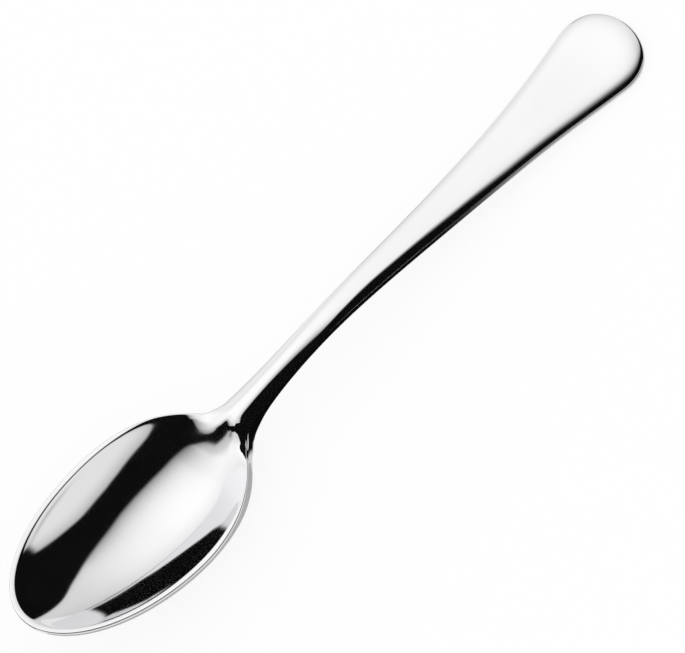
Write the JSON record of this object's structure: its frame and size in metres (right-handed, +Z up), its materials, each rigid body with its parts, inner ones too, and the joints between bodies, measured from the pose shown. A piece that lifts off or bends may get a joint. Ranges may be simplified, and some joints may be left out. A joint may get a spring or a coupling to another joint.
{
  "type": "teaspoon",
  "caption": "One-piece polished stainless steel teaspoon with an oval bowl, a slim neck and a handle that widens to a rounded end.",
  "frame": {"origin": "on the table, under the middle of the spoon's length and width, with the spoon lying on its back at rest", "axes": "+X along the spoon from the bowl's tip to the handle's end, +Y across it, +Z up from the table, out of the hollow of the bowl"},
  "size_m": [0.138, 0.0294, 0.0135],
  "materials": {
    "steel": "polished"
  },
  "bodies": {
    "root": {"spoon": "steel"}
  },
  "joints": []
}
